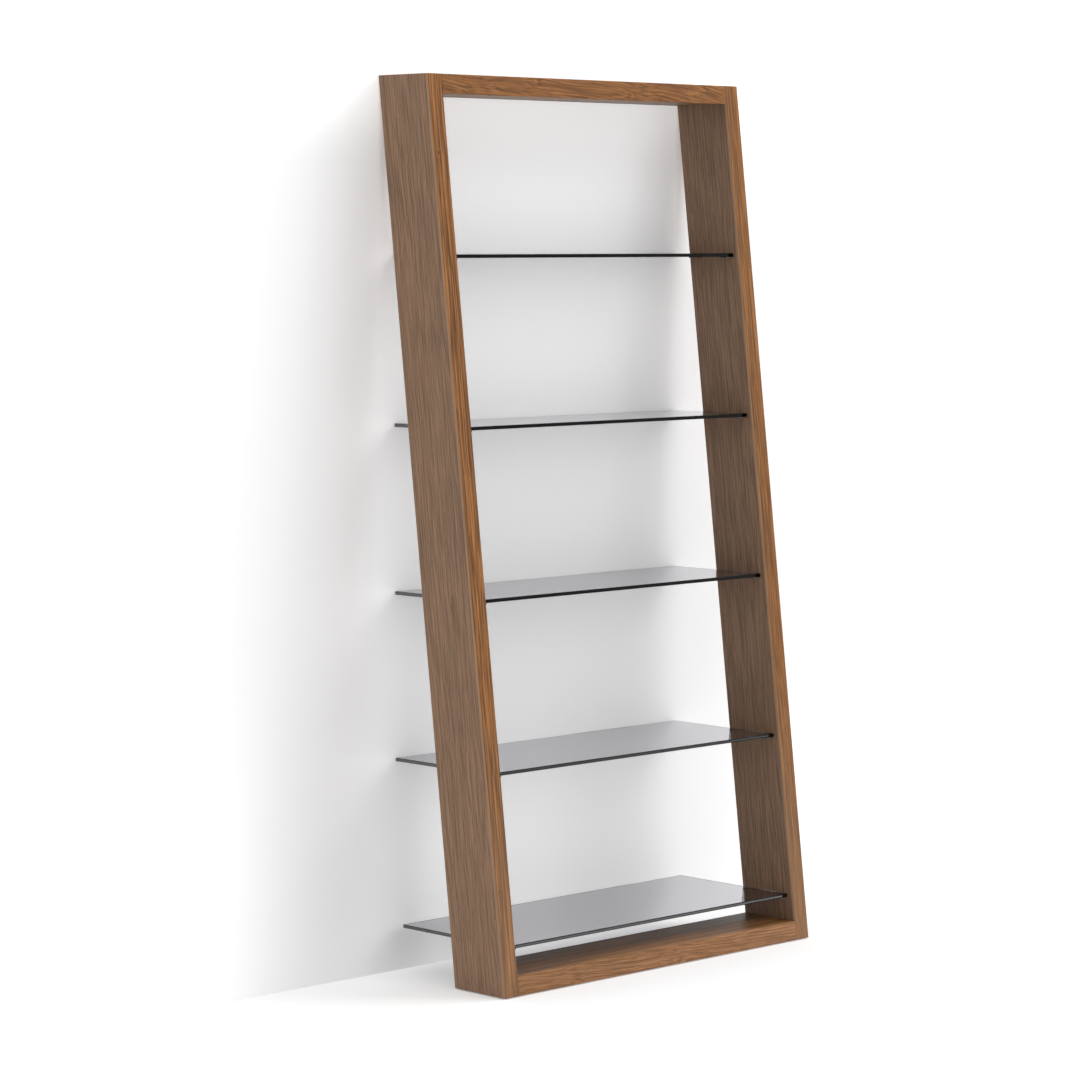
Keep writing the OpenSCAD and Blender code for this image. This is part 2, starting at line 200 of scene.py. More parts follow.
def use_group(tree, group, inputs):
    """Places a node group and returns all its outputs."""
    node = tree.nodes.new("ShaderNodeGroup")
    node.node_tree = group
    fill(tree, node.inputs, inputs)
    return node.outputs


print("a default of three numbers makes a", SOCKET_KINDS[len(ORIGIN)], "socket")

# %% [markdown]
# ## Growth rings
# Wood grows in rings round the pith, the middle of the log. A board is a flat cut through those
# rings: far from the pith they show as straight lines, and close to it, where the log tapers,
# as long arches. So the figure isn't drawn. The group measures the distance from a pith line that
# drifts slowly along the board and wanders a little, and every ring's width it darkens towards
# late wood and starts again. One formula then gives the right figure on every face of a solid.
# The group also hands on the bent coordinates, so that whatever comes next follows the rings.

# %% Group: growth rings
RING_INPUTS = {"Vector": ORIGIN, "Pith": (0.1, 0.1, 0.0), "Drift": ORIGIN,
               "Ring Width": 0.004, "Wander": 0.004, "Sharpness": 2.5}
BENDS_PER_METRE = (9.0, 9.0, 3.2)  # fewer along the grain than across it
UNEVEN_OVER = 0.4  # good and bad years come in spells of two or three rings
UNEVEN_BY = 1.8


def growth_rings():
    """Late wood = fraction of (distance from the pith / ring width) raised to a power, so that
    each ring darkens slowly and ends sharply. Z runs along the grain. Bent = the place seen from
    the wandering pith, so that fibres can follow the rings."""
    tree, given, result = new_group(
        "growth_rings", RING_INPUTS, {"Late Wood": "Float", "Bent": "Vector"})
    slow = vector_maths(tree, "MULTIPLY", given["Vector"], BENDS_PER_METRE)
    bend = noise(tree, slow, detail=2.0, out="Color", Roughness=0.55)
    bend = vector_maths(tree, "SUBTRACT", bend, (0.5, 0.5, 0.5))
    bend = vector_maths(tree, "SCALE", bend, scale=given["Wander"])
    along = part_of(tree, given["Vector"], "Z")
    drift = vector_maths(tree, "SCALE", given["Drift"], scale=along)
    pith = vector_maths(tree, "ADD", given["Pith"], drift)
    bent = vector_maths(
        tree, "SUBTRACT", vector_maths(tree, "ADD", given["Vector"], bend), pith)
    across = vector_maths(tree, "MULTIPLY", bent, (1.0, 1.0, 0.0))
    distance = vector_maths(tree, "LENGTH", across, out="Value")
    count = maths(tree, "DIVIDE", distance, given["Ring Width"])
    uneven = put(tree, "ShaderNodeTexNoise",
                 {"W": times(tree, count, UNEVEN_OVER), "Scale": 1.0, "Detail": 1.0},
                 noise_dimensions="1D")
    count = add(tree, count, times(tree, uneven, UNEVEN_BY))
    late = maths(tree, "POWER", maths(tree, "FRACT", count), given["Sharpness"])
    fill(tree, result, {"Late Wood": late, "Bent": bent})
    return tree


RINGS = growth_rings()
print("group", RINGS.name, "with", len(RINGS.nodes), "nodes")

# %% [markdown]
# ## Fibres and pores
# Between the rings, walnut is striped by its fibres and dotted with open pores, which a cut
# along the grain turns into fine dark dashes. Both are noise squeezed across the grain and
# drawn out along it. The fibres are broad enough to see across a room, and the pores only show
# close up, where they also catch the light as tiny grooves.

# %% Group: fibres and pores
FIBRE_INPUTS = {"Vector": ORIGIN, "Fibres per Metre": 200.0, "Seed": 0.0}
STEP_OF_A_SEED = (3.1, 1.7, 7.3)  # metres in the endless noise, to where it looks like new
BROAD_PER_METRE = (26.0, 26.0, 0.9)
FIBRE_SQUEEZE = (1.0, 1.0, 0.017)
STREAKS_PER_METRE = (95.0, 95.0, 6.0)
PORES_PER_METRE = (1800.0, 1800.0, 70.0)
# Each band: the noise at which the effect starts, and at which it is full.
FIBRE_BAND, STREAK_BAND, PORE_BAND = (0.3, 0.7), (0.6, 0.7), (0.6, 0.72)


def fibres_and_pores():
    """Fibre = noise drawn out about sixty times along Z. Streak = the few highest bands of a
    coarser one. Pore = the peaks of a much finer one."""
    tree, given, result = new_group(
        "fibres_and_pores", FIBRE_INPUTS,
        {"Broad": "Float", "Fibre": "Float", "Streak": "Float", "Pore": "Float"})
    step = vector_maths(tree, "SCALE", STEP_OF_A_SEED, scale=given["Seed"])
    seeded = vector_maths(tree, "ADD", given["Vector"], step)

    def stretched(sizes):
        return vector_maths(tree, "MULTIPLY", seeded, sizes)

    broad = noise(tree, stretched(BROAD_PER_METRE), detail=3.0)
    fibre = noise(tree, stretched(FIBRE_SQUEEZE), given["Fibres per Metre"], 2.0, Roughness=0.6)
    streak = noise(tree, stretched(STREAKS_PER_METRE), detail=2.0, Distortion=0.6)
    pore = noise(tree, stretched(PORES_PER_METRE))
    fill(tree, result, {"Broad": broad,
                        "Fibre": ramp(tree, fibre, *FIBRE_BAND),
                        "Streak": ramp(tree, streak, *STREAK_BAND),
                        "Pore": ramp(tree, pore, *PORE_BAND)})
    return tree


FIBRES = fibres_and_pores()
print("group", FIBRES.name, "with", len(FIBRES.nodes), "nodes")

# %% [markdown]
# ## Walnut
# Rings, fibres and pores come together in one group, which every wooden piece uses with its
# own colours and pith. The light colour is early wood and the dark one late wood. The broad
# noise shifts whole stripes between a warmer and a greyer brown, as heartwood does. The group
# puts out colour, roughness and height only, and the shader itself stays in each material.

# %% Group: walnut
WALNUT_INPUTS = {
    **RING_INPUTS, **FIBRE_INPUTS,
    "Light": srgb(150, 105, 68), "Dark": srgb(105, 70, 42), "Other Tone": srgb(120, 105, 90),
    "Tone Share": 0.3, "Tone Shift": 0.0, "Ring Strength": 0.6, "Fibre Strength": 0.35,
    "Streak Strength": 0.1}
TONE_BAND = (0.36, 0.64)
PORE_SHADE = 0.3
LACQUER_ROUGHNESS, ROUGHER_FIBRE, ROUGHER_PORE = 0.40, 0.12, 0.15
RAISED_FIBRE, SUNK_PORE = 0.5, 0.6


def walnut():
    """Colour = early to late wood by ring, times stripes by fibre, darkened in pores. Roughness
    and height = a share of the fibre plus or minus a share of the pore."""
    tree, given, result = new_group(
        "walnut", WALNUT_INPUTS, {"Color": "Color", "Roughness": "Float", "Height": "Float"})
    rings = use_group(tree, RINGS, {name: given[name] for name in RING_INPUTS})
    grain = use_group(tree, FIBRES, {**{name: given[name] for name in FIBRE_INPUTS},
                                     "Vector": rings["Bent"]})
    tone = ramp(tree, add(tree, grain["Broad"], given["Tone Shift"]), *TONE_BAND)
    tone = times(tree, tone, given["Tone Share"])
    early = colour_mix(tree, tone, given["Light"], given["Other Tone"])
    late = times(tree, rings["Late Wood"], given["Ring Strength"])
    base = colour_mix(tree, late, early, given["Dark"])
    swing = times(tree, less(tree, grain["Fibre"], 0.5), given["Fibre Strength"])
    streak = times(tree, grain["Streak"], given["Streak Strength"])
    striped = vector_maths(tree, "SCALE", base, scale=add(tree, 1.0, swing, streak))
    shade = less(tree, 1.0, times(tree, grain["Pore"], PORE_SHADE))
    rough = add(tree, LACQUER_ROUGHNESS, times(tree, grain["Fibre"], ROUGHER_FIBRE),
                times(tree, grain["Pore"], ROUGHER_PORE))
    height = less(tree, times(tree, grain["Fibre"], RAISED_FIBRE),
                  times(tree, grain["Pore"], SUNK_PORE))
    fill(tree, result, {"Color": vector_maths(tree, "SCALE", striped, scale=shade),
                        "Roughness": rough, "Height": height})
    return tree


WALNUT = walnut()
print("group", WALNUT.name, "with", len(WALNUT.nodes), "nodes")

# %% [markdown]
# ## Small knots
# A twig that was overgrown leaves a dark eye, and the rings flow round it as water round a
# stone. To bend them, the pattern isn't painted over: near the eye the coordinates are drawn
# towards its middle, so lines that would have met it pass on either side.

# %% Group: small knot
KNOT_SQUEEZE = (1.0, 0.25, 0.4)  # a knot reaches further into the wood and along the grain
KNOT_PULL = (-0.8, -0.8, 0.0)
# Each ramp over the distance in sizes of the knot: start, end, value before, value after.
KNOT_NEAR = (0.4, 3.5, 1.0, 0.0)
KNOT_EYE = (0.35, 1.0, 0.9, 0.0)


def small_knot():
    """Nearness = 1 in the middle and 0 from 3.5 sizes away. The vector moves towards the centre
    by most of its distance times nearness squared. Dark = 0.9 in the eye, 0 one size away."""
    tree, given, result = new_group(
        "small_knot", {"Vector": ORIGIN, "Centre": ORIGIN, "Size": 0.003},
        {"Vector": "Vector", "Dark": "Float"})
    apart = vector_maths(tree, "SUBTRACT", given["Vector"], given["Centre"])
    squeezed = vector_maths(tree, "MULTIPLY", apart, KNOT_SQUEEZE)
    distance = maths(
        tree, "DIVIDE", vector_maths(tree, "LENGTH", squeezed, out="Value"), given["Size"])
    near = ramp(tree, distance, *KNOT_NEAR)
    pull = vector_maths(tree, "MULTIPLY", apart, KNOT_PULL)
    pull = vector_maths(tree, "SCALE", pull, scale=times(tree, near, near))
    fill(tree, result, {"Vector": vector_maths(tree, "ADD", given["Vector"], pull),
                        "Dark": ramp(tree, distance, *KNOT_EYE)})
    return tree


KNOT = small_knot()
print("group", KNOT.name, "with", len(KNOT.nodes), "nodes")

# %% [markdown]
# ## Which way the grain runs
# The pattern groups take Z as the way of the grain. A Mapping node turns each piece to suit:
# the sides by the lean of the frame, so that the figure runs along the board and not upright,
# and the rails by a quarter turn. On a side panel's level cuts at head and foot the maker irons
# on a strip of veneer that runs from front to back, so there the pattern takes another turn,
# chosen by the way the face looks.

# %% Turned coordinates
FRAME_HEIGHT = 2.0
REACH = 0.4  # from the front of the foot to the wall
PANEL_DEPTH = 0.158  # a side panel's level cut, from front to back
FOOT_GAP = 0.002  # from the floor to the wood

LEAN = math.atan2(REACH - PANEL_DEPTH, FRAME_HEIGHT - FOOT_GAP)
ALONG_SIDE = (LEAN, 0.0, 0.0)
ALONG_RAIL = (0.0, -math.pi / 2, 0.0)
ALONG_DEPTH = (math.pi / 2, 0.0, 0.0)


def turned(tree, turn, shift=ORIGIN):
    """The place on the object, turned so that Z runs along the grain, and shifted to another
    place in the log."""
    return put(tree, "ShaderNodeMapping",
               {"Vector": place_on_object(tree), "Rotation": turn, "Location": shift})


def looks_along(tree, axis):
    """1 where a face looks straight along X, Y or Z, either way, and 0 where it looks across."""
    normal = put(tree, "ShaderNodeNewGeometry", out="Normal")
    return maths(tree, "ABSOLUTE", part_of(tree, normal, axis))


print("the sides lean", round(math.degrees(LEAN), 2), "degrees")

# %% [markdown]
# ## One material per board
# Lacquered walnut is the walnut group on a Principled shader, with the pores as a shallow bump.
# A plain board needs no more. Real boards also have places of their own: a knot, a greyer side,
# ends where a strip is laid across, or a paler face. Some are painted light and shade instead:
# the greyer back of the rails is painted shade, and the paler foot of the side lippings is
# painted light from the floor. Each of them is an option of the same function and adds its nodes
# only to the boards that have it, so every board stays one recipe with a few words of its own.

# %% Lacquered walnut
PORE_DEPTH = 0.00012
PORE_STRENGTH = 0.6
LACQUER_SHINE = 0.2
KNOT_BROWN = srgb(62, 36, 18)
LEVEL_FACES = (0.6, 0.7)  # how straight up a face looks, from where it counts to where fully
# For paler side faces, and for painted light from the white floor at the foot of a board.
SIDE_FACES = (0.3, 0.75)
SIDE_SHARE = 0.6
FLOOR_LIGHT_FADES = (0.05, 0.7)


def new_material(name):
    """A material with a bare Principled shader, and its tree."""
    material = bpy.data.materials.new(name)
    material.use_nodes = True
    return material, material.node_tree, material.node_tree.nodes["Principled BSDF"]


def strip_at_ends(tree, vector, end_turn, shift):
    """The coordinates turned another way on level faces. A vector Mix has sockets 4 and 5."""
    level = ramp(tree, looks_along(tree, "Z"), *LEVEL_FACES, smooth=False)
    return put(tree, "ShaderNodeMix", {0: level, 4: vector, 5: turned(tree, end_turn, shift)}, 1,
               data_type="VECTOR")


def pale_sides_and_painted_floor_light(tree, colour, pale_and_floor_light_colour, painted_floor_light_share):
    """The larger of two shares of a paler colour: 0.6 on faces that look left or right, and a
    share at the floor, painted light from the white floor, which fades out up to 0.7 m."""
    sideways = ramp(tree, looks_along(tree, "X"), *SIDE_FACES)
    height = part_of(tree, place_on_object(tree), "Z")
    # Painted light from the white floor, strongest at the foot.
    foot = ramp(tree, height, *FLOOR_LIGHT_FADES, painted_floor_light_share, 0.0)
    paler = maths(tree, "MAXIMUM", times(tree, sideways, SIDE_SHARE), foot)
    return colour_mix(tree, paler, colour, pale_and_floor_light_colour)


def wooden(name, turn, recipe, own, shift=ORIGIN, end_turn=None, tone_and_shade_run=None, knots=(),
           pale_and_floor_light_colour=None, painted_floor_light_share=0.0):
    """Lacquered walnut: a recipe with the board's own values in place of some of it. end_turn is
    the grain of the level ends. The run of tone = (y at the start, y at the end, shift at the
    start, at the end) greys one side of a board, and on the rails it is painted shade. A paler
    colour can be given for faces that look sideways, and at the foot as painted light from the
    floor.
    Each knot is a centre and a size."""
    material, tree, shader = new_material(name)
    values = {**recipe, **own}
    vector = turned(tree, turn, shift)
    dark = 0.0
    for centre, size in knots:
        knot = use_group(tree, KNOT, {"Vector": vector, "Centre": centre, "Size": size})
        vector = knot["Vector"]
        dark = maths(tree, "MAXIMUM", dark, knot["Dark"])
    if tone_and_shade_run is not None:
        depth = part_of(tree, vector, "Y")
        values["Tone Shift"] = ramp(tree, depth, *tone_and_shade_run, smooth=False)
    if end_turn is not None:
        vector = strip_at_ends(tree, vector, end_turn, shift)
    wood = use_group(tree, WALNUT, {"Vector": vector, **values})
    colour = wood["Color"]
    if knots:
        colour = colour_mix(tree, dark, colour, KNOT_BROWN)
    if pale_and_floor_light_colour is not None:
        colour = pale_sides_and_painted_floor_light(tree, colour, pale_and_floor_light_colour, painted_floor_light_share)
    bump = put(tree, "ShaderNodeBump",
               {"Height": wood["Height"], "Distance": PORE_DEPTH, "Strength": PORE_STRENGTH})
    fill(tree, shader.inputs, {"Base Color": colour, "Roughness": wood["Roughness"],
                               "Normal": bump, "Specular IOR Level": LACQUER_SHINE})
    return material


def dress(material, *names):
    """Gives CAD nodes their material and says so."""
    for name in names:
        nodes[name].data.materials.clear()
        nodes[name].data.materials.append(material)
    print(material.name + ":", ", ".join(names))


print("pores", round(PORE_DEPTH * 1000, 2), "mm deep")

# %% [markdown]
# ## The veneered boards
# Sides and rails are boards under a thin sheet of walnut, cut so that the rings lie far from
# the pith: fine lines along the board, greyer than solid wood and hardly ringed at all. Both
# sides could share one material, but two sheets from one log are never the same, so each board
# is shifted to its own place in the pattern. The right side's early wood is also painted darker,
# as shade on its inner face. The rails' sheet is coarser and runs from a warm brown at the front
# to a greyer one at the back, and the greyer back is painted shade, the shadow of the glass
# shelf on the bottom rail's top.

# %% Veneers
VENEER = {
    "Light": srgb(144, 113, 89), "Dark": srgb(94, 71, 56), "Other Tone": srgb(133, 109, 90),
    "Tone Share": 0.2, "Ring Strength": 0.08, "Fibre Strength": 0.66, "Streak Strength": 0.07,
    "Fibres per Metre": 380.0, "Wander": 0.016}
# Runs of tone from front to back: y at the start, y at the end, shift at the start, at the end.
# The sides' run greys their fronts, and the rails' run is painted shade at their back.
FRONT_GREY = (-0.19, -0.06, 0.06, -0.05)
RAIL_REAR_PAINTED_SHADE = (-0.17, -0.09, -0.25, 0.2)

left_veneer = wooden(
    "left_side_veneer", ALONG_SIDE, VENEER,
    {"Pith": (-0.6, 0.35, 0.0), "Drift": (0.0, 0.01, 0.0), "Ring Width": 0.017, "Seed": 1.0},
    end_turn=ALONG_DEPTH, tone_and_shade_run=FRONT_GREY)
# The right side's early wood is painted darker than the left's, as shade on its inner face.
right_veneer_painted_shade = wooden(
    "right_side_veneer_painted_shade", ALONG_SIDE, VENEER,
    {"Pith": (0.2, -0.4, 0.0), "Drift": (0.0, 0.006, 0.0), "Ring Width": 0.013,
     "Light": srgb(133, 105, 83), "Seed": 2.0},
    shift=(0.0, 0.0, 0.7), end_turn=ALONG_DEPTH, tone_and_shade_run=FRONT_GREY)
rail_veneer = wooden(
    "crosswise_veneer", ALONG_RAIL, VENEER,
    {"Pith": (0.1, 0.5, 0.0), "Drift": (0.0, 0.008, 0.0), "Ring Width": 0.018,
     "Ring Strength": 0.6, "Tone Share": 0.7, "Fibres per Metre": 80.0, "Fibre Strength": 1.15,
     "Light": srgb(137, 95, 56), "Dark": srgb(77, 54, 34), "Other Tone": srgb(118, 94, 70),
     "Seed": 3.0},
    shift=(0.0, 0.0, 0.3), tone_and_shade_run=RAIL_REAR_PAINTED_SHADE)
dress(left_veneer, "left_side_panel")
dress(right_veneer_painted_shade, "right_side_panel")
dress(rail_veneer, "top_rail", "bottom_rail")

# %% [markdown]
# ## The solid lippings
# The front edges are closed with strips of solid walnut, warmer and livelier than the veneer.
# The strips on the sides show straight lines, because their pith lies more than a metre off to
# the side. The one on the top rail has a pith that drifts more strongly, so its lines slope, and
# that wanders more, so they curve. The narrow outer faces of the side strips are made paler,
# and towards the floor their fronts turn paler too, painted light from the white floor.

# %% Lippings of the sides
SOLID = {
    "Light": srgb(148, 99, 55), "Dark": srgb(82, 48, 20), "Other Tone": srgb(132, 89, 52),
    "Tone Share": 0.6, "Ring Strength": 0.6, "Fibre Strength": 1.15, "Streak Strength": 0.15,
    "Fibres per Metre": 360.0}
# A paler colour for the side strips' outer faces, and the painted light from the floor.
PALE_SIDE_AND_FLOOR_LIGHT = srgb(178, 150, 124)
PAINTED_FLOOR_LIGHT = 0.2


def on_left_lipping(x, height):
    """A point on the left lipping's front face, in the turned coordinates that knots use. The
    face's y = half the reach to the front, plus the height above the foot times tan(lean), and
    both are then turned by the lean."""
    front = -REACH / 2 + (height - FOOT_GAP) * math.tan(LEAN)
    return (x, front * math.cos(LEAN) - height * math.sin(LEAN),
            front * math.sin(LEAN) + height * math.cos(LEAN))


LEFT_KNOTS = ((on_left_lipping(-0.4805, 1.828), 0.0026), (on_left_lipping(-0.4855, 0.229), 0.0024))

left_lipping = wooden(
    "left_lipping", ALONG_SIDE, SOLID,
    {"Pith": (-1.3, -0.1, 0.0), "Drift": (0.004, 0.0, 0.0), "Ring Width": 0.0095,
     "Ring Strength": 0.75, "Sharpness": 3.5, "Wander": 0.010, "Seed": 4.0},
    knots=LEFT_KNOTS, pale_and_floor_light_colour=PALE_SIDE_AND_FLOOR_LIGHT, painted_floor_light_share=PAINTED_FLOOR_LIGHT)
right_lipping = wooden(
    "right_lipping", ALONG_SIDE, SOLID,
    {"Pith": (1.4, -0.1, 0.0), "Drift": (-0.006, 0.0, 0.0), "Light": srgb(149, 101, 57),
     "Ring Width": 0.011, "Ring Strength": 0.45, "Wander": 0.012, "Fibre Strength": 0.9,
     "Seed": 5.0},
    pale_and_floor_light_colour=PALE_SIDE_AND_FLOOR_LIGHT, painted_floor_light_share=PAINTED_FLOOR_LIGHT)
dress(left_lipping, "left_side_lipping")
dress(right_lipping, "right_side_lipping")

# %% [markdown]
# The lippings of the rails are the same solid wood, turned to run across. They are calmer than
# those on the sides. The lower one is painted paler, as light from the white floor just under
# it. So only the values change, and no new group is needed.

# %% Lippings of the rails
top_lipping = wooden(
    "top_lipping", ALONG_RAIL, SOLID,
    {"Pith": (-1.90, 0.02, 0.0), "Drift": (0.10, 0.04, 0.0), "Light": srgb(143, 96, 55),
     "Ring Width": 0.009, "Wander": 0.045, "Ring Strength": 0.5, "Fibre Strength": 0.85,
     "Tone Share": 0.4, "Seed": 6.0})
# Its paler early wood is painted light from the floor.
bottom_lipping_floor_light = wooden(
    "bottom_lipping_floor_light", ALONG_RAIL, SOLID,
    {"Pith": (0.05, -0.22, 0.0), "Drift": (0.05, 0.03, 0.0), "Light": srgb(160, 116, 80),
     "Ring Width": 0.010, "Wander": 0.035, "Ring Strength": 0.35, "Fibre Strength": 0.65,
     "Tone Share": 0.3, "Seed": 7.0})
dress(top_lipping, "top_rail_lipping")
dress(bottom_lipping_floor_light, "bottom_rail_lipping")

# %% [markdown]
# ## Tinted glass
# The shelves are grey float glass 8 mm thick. Its colour isn't on the surface: light loses a
# share for every millimetre that it travels inside, so the plate looks smoky from above and
# nearly black when one looks into its edge. A surface colour couldn't give both, and a plain
# glass shader with Volume Absorption inside does. An edge is ground before it is polished, so
# little light gets in there: its base colour is dark. What one sees of an edge is its polish, a
# clear coat that mirrors the room. It is strong on the two flat ends. On the flat middle of the
# front edges the coat is a painted reflection of the white floor, set by height: strong on the
# lowest shelf, weaker on the next and gone higher up. The rounded arrises beside it stay dark.

# %% Polish and painted reflection on the glass edges
LOWEST_MIDDLE = 0.104  # middle of the lowest plate's thickness
SHELF_PITCH = 0.375
STRAIGHT = (0.75, 0.85)  # how straight a face has to look along X or Y, from here to here
# Painted reflection of the white floor: the lower the shelf, the stronger its front edge's coat.
FLOOR_REFLECTION_BY_HEIGHT = (0.1, 0.65, 0.85, 0.0)  # over the height
POLISHED_BAND = (0.0014, 0.0024, 1.0, 0.0)  # over the distance from the plate's middle


def edge_polish_and_painted_reflection(tree, at_end):
    """Coat = 1 on the flat ends. On a front edge it is a painted reflection of the floor: a band
    round the middle of the plate's thickness, full within 1.4 mm of it and gone from 2.4 mm on,
    that grows from 0 at 0.65 m above the floor to 0.85 at 0.1 m. Pingpong = the distance from the
    nearest plate's middle."""
    at_front = ramp(tree, looks_along(tree, "Y"), *STRAIGHT)
    height = part_of(tree, place_on_object(tree), "Z")
    # Painted reflection of the white floor, stronger on lower shelves.
    low = ramp(tree, height, *FLOOR_REFLECTION_BY_HEIGHT, smooth=False)
    off_middle = maths(tree, "PINGPONG", less(tree, height, LOWEST_MIDDLE), SHELF_PITCH / 2)
    core = ramp(tree, off_middle, *POLISHED_BAND, smooth=False)
    return maths(tree, "MAXIMUM", at_end, times(tree, at_front, low, core))


print("plates every", SHELF_PITCH, "m, the lowest at", LOWEST_MIDDLE, "m")

# %% [markdown]
# The glass itself has three tones: nearly white flat faces, so that only the smoke inside tints
# them, black ground edges, and dark grey ends. Roughness is a ripple of a few hundredths, because
# float glass is never a perfect mirror.

# %% Glass
GLASS_SMOKE = (0.22, 0.19, 0.27, 1.0)
GLASS_DENSITY = 68.0
GLASS_CLEAR = (0.94, 0.945, 0.95, 1.0)
GROUND_EDGE = grey(0.004)
CUT_END = grey(0.08)
FLAT_FACES = (0.8, 0.9)
MOST_ROUGH = 0.03
RIPPLES_PER_METRE = 3.0
PLATE = 0.008


def tinted_glass():
    """Absorption per metre = density times (1 - smoke colour). Base colour = clear on the flat
    faces, else the end's or the ground edge's. Roughness = 0.03 times slow noise."""
    material, tree, shader = new_material("smoky_glass")
    flat = ramp(tree, looks_along(tree, "Z"), *FLAT_FACES)
    at_end = ramp(tree, looks_along(tree, "X"), *STRAIGHT)
    edge = colour_mix(tree, at_end, GROUND_EDGE, CUT_END)
    ripple = noise(tree, place_on_object(tree), RIPPLES_PER_METRE)
    fill(tree, shader.inputs, {
        "Transmission Weight": 1.0, "IOR": 1.52, "Specular Tint": grey(0.1),
        "Base Color": colour_mix(tree, flat, edge, GLASS_CLEAR),
        "Roughness": times(tree, ripple, MOST_ROUGH),
        "Coat Weight": edge_polish_and_painted_reflection(tree, at_end), "Coat IOR": 2.0, "Coat Roughness": 0.12})
    smoke = put(tree, "ShaderNodeVolumeAbsorption",
                {"Color": GLASS_SMOKE, "Density": GLASS_DENSITY})
    fill(tree, tree.nodes["Material Output"].inputs, {"Volume": smoke})
    return material


def on_each_shelf(stem):
    """The five nodes of one kind, numbered from the lowest shelf up."""
    return ["%s_%d" % (stem, number) for number in range(1, 6)]


dress(tinted_glass(), *on_each_shelf("glass_shelf"))
through = math.exp(-GLASS_DENSITY * (1 - sum(GLASS_SMOKE[:3]) / 3) * PLATE)
print("share of light straight through 8 mm:", round(through, 2))

# %% [markdown]
# ## Small parts
# Powder coat, nylon, zinc and steel have no pattern to draw, yet none is perfectly even: powder
# coat has a fine orange peel, cast zinc a dull cloudiness, moulded nylon a satin skin. One group
# gives a cloud and a fine bump at two scales, and each material says how much of either it has.


# %% Group: uneven skin
def uneven_skin():
    """Cloud = slow noise round 0. Colour = base times (1 + cloud). Roughness = base plus cloud.
    Height = fine noise."""
    tree, given, result = new_group(
        "uneven_skin",
        {"Color": grey(0.5), "Cloud": 0.1, "Roughness": 0.4, "Clouds per Metre": 60.0,
         "Peel per Metre": 1500.0},
        {"Color": "Color", "Roughness": "Float", "Height": "Float"})
    place = place_on_object(tree)
    cloud = noise(tree, place, given["Clouds per Metre"], 3.0)
    cloud = times(tree, less(tree, cloud, 0.5), given["Cloud"])
    shade = add(tree, cloud, 1.0)
    fill(tree, result, {
        "Color": vector_maths(tree, "SCALE", given["Color"], scale=shade),
        "Roughness": maths(tree, "ADD", given["Roughness"], cloud, clamp=True),
        "Height": noise(tree, place, given["Peel per Metre"], 2.0)})
    return tree


SKIN = uneven_skin()
print("group", SKIN.name, "with", len(SKIN.nodes), "nodes")

# %% [markdown]
# The supports are steel plates in a dark brown powder coat, the pads between them and the glass
# a dark rubbery bond, the hangers and cams cast zinc, and the rest plated steel, brass and nylon.
# They differ only in colour, roughness and how much of the skin they have, so one function makes
# them all. Metallic is 1 or 0, as on real things, and never between.

# %% Materials of the small parts
PEEL_DEPTH = 0.00003
FEET = ("front_left", "front_right", "rear_left", "rear_right")


def skinned(name, colour, roughness, metallic=0.0, cloud=0.15, peel=1500.0):
    """A plain coat, plastic or metal with the uneven skin. peel = its bumps per metre."""
    material, tree, shader = new_material(name)
    skin = use_group(tree, SKIN, {"Color": colour, "Cloud": cloud, "Roughness": roughness,
                                  "Peel per Metre": peel})
    bump = put(tree, "ShaderNodeBump",
               {"Height": skin["Height"], "Distance": PEEL_DEPTH, "Strength": 0.5})
    fill(tree, shader.inputs, {"Metallic": metallic, "Base Color": skin["Color"],
                               "Roughness": skin["Roughness"], "Normal": bump})
    return material


powder_coat = skinned("powder_coat", srgb(92, 80, 70), 0.5, peel=2200.0)
dark_pad = skinned("dark_pad", srgb(62, 57, 53), 0.7)
steel = skinned("zinc_plate", srgb(196, 198, 200), 0.28, metallic=1.0, cloud=0.1)
zinc = skinned("cast_zinc", srgb(178, 178, 180), 0.42, metallic=1.0, cloud=0.2)
brass = skinned("brass", srgb(206, 172, 102), 0.3, metallic=1.0)
nylon = skinned("nylon", srgb(52, 51, 50), 0.5, peel=900.0)
dress(powder_coat, *on_each_shelf("shelf_supports"))
dress(dark_pad, *on_each_shelf("bonding_pads"))
dress(steel, "hanger_screws", "top_rail_cam_bolts", "bottom_rail_cam_bolts",
      *(foot + "_stem" for foot in FEET))
dress(zinc, "left_wall_hanger", "right_wall_hanger", "top_rail_cams", "bottom_rail_cams")
dress(brass, "foot_inserts")
dress(nylon, *(foot + "_glide" for foot in FEET))

# %% [markdown]
# The dowels are plain beech: pale, with short flecks and hardly any rings. The walnut group
# does it with beech colours, because what differs is only how strong each effect is.

# %% Beech dowels
BEECH = {
    "Light": srgb(214, 182, 140), "Dark": srgb(190, 150, 108), "Other Tone": srgb(205, 170, 130),
    "Tone Share": 0.4, "Ring Width": 0.003, "Wander": 0.003, "Ring Strength": 0.4,
    "Fibre Strength": 0.2, "Fibres per Metre": 600.0}

beech = wooden("beech", ALONG_RAIL, BEECH, {"Pith": (0.3, 0.3, 0.0)})
dress(beech, "top_rail_dowels", "bottom_rail_dowels")

# %% [markdown]
# ## Edges that catch the light
# No real edge is perfectly sharp. The lippings meet in butt joints, where two eased edges make
# a fine groove, and that groove is what shows the joint. The CAD mesh is loose triangles, so a
# Weld joins them before a Bevel rounds them by a fraction of a millimetre.

# %% Weld and bevel
WELDS_WITHIN = 0.00001
EASED_BY = 0.0004
SHARP_FROM = math.radians(35)


def weld(piece):
    """Joins corners that lie within a hundredth of a millimetre of each other."""
    piece.modifiers.new("weld", "WELD").merge_threshold = WELDS_WITHIN


